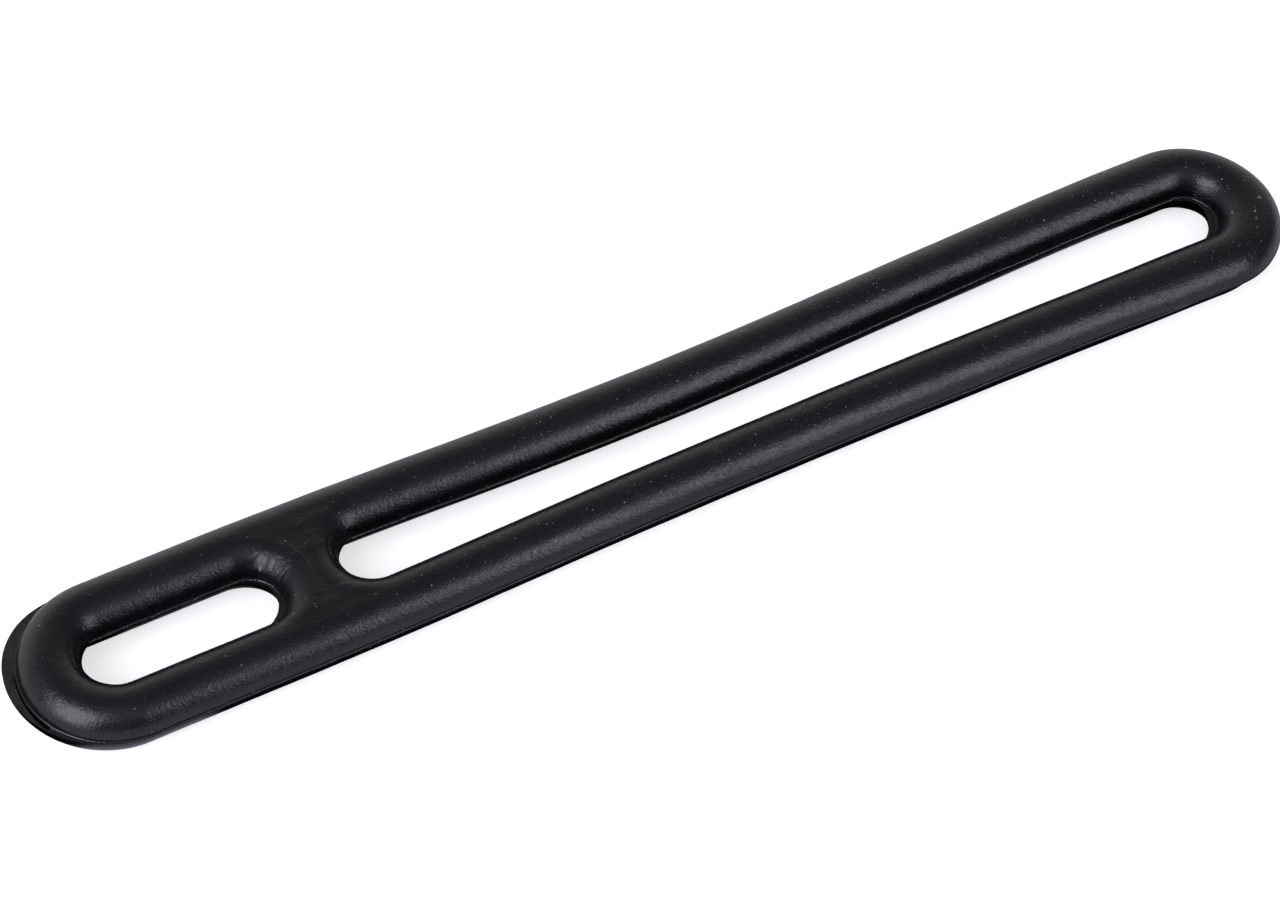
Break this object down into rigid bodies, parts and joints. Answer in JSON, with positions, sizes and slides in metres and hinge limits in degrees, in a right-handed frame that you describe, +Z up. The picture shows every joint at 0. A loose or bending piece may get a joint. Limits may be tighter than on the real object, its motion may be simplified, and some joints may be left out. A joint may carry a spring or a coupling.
{
  "type": "rubber draw latch strap",
  "caption": "Moulded rubber pull strap of a draw latch: a round rope section forms a short anchor slot and a long waisted slot that stretches over a keeper hook.",
  "frame": {"origin": "middle of the strap's bounding box, on the surface that it lies on", "axes": "+X along the strap towards the long slot's round end, +Y across both rails, +Z up through the slots"},
  "size_m": [0.2022, 0.027, 0.0084],
  "materials": {
    "rubber": "black moulded rubber with a soft satin sheen"
  },
  "bodies": {
    "root": {"strap": "rubber"}
  },
  "joints": []
}
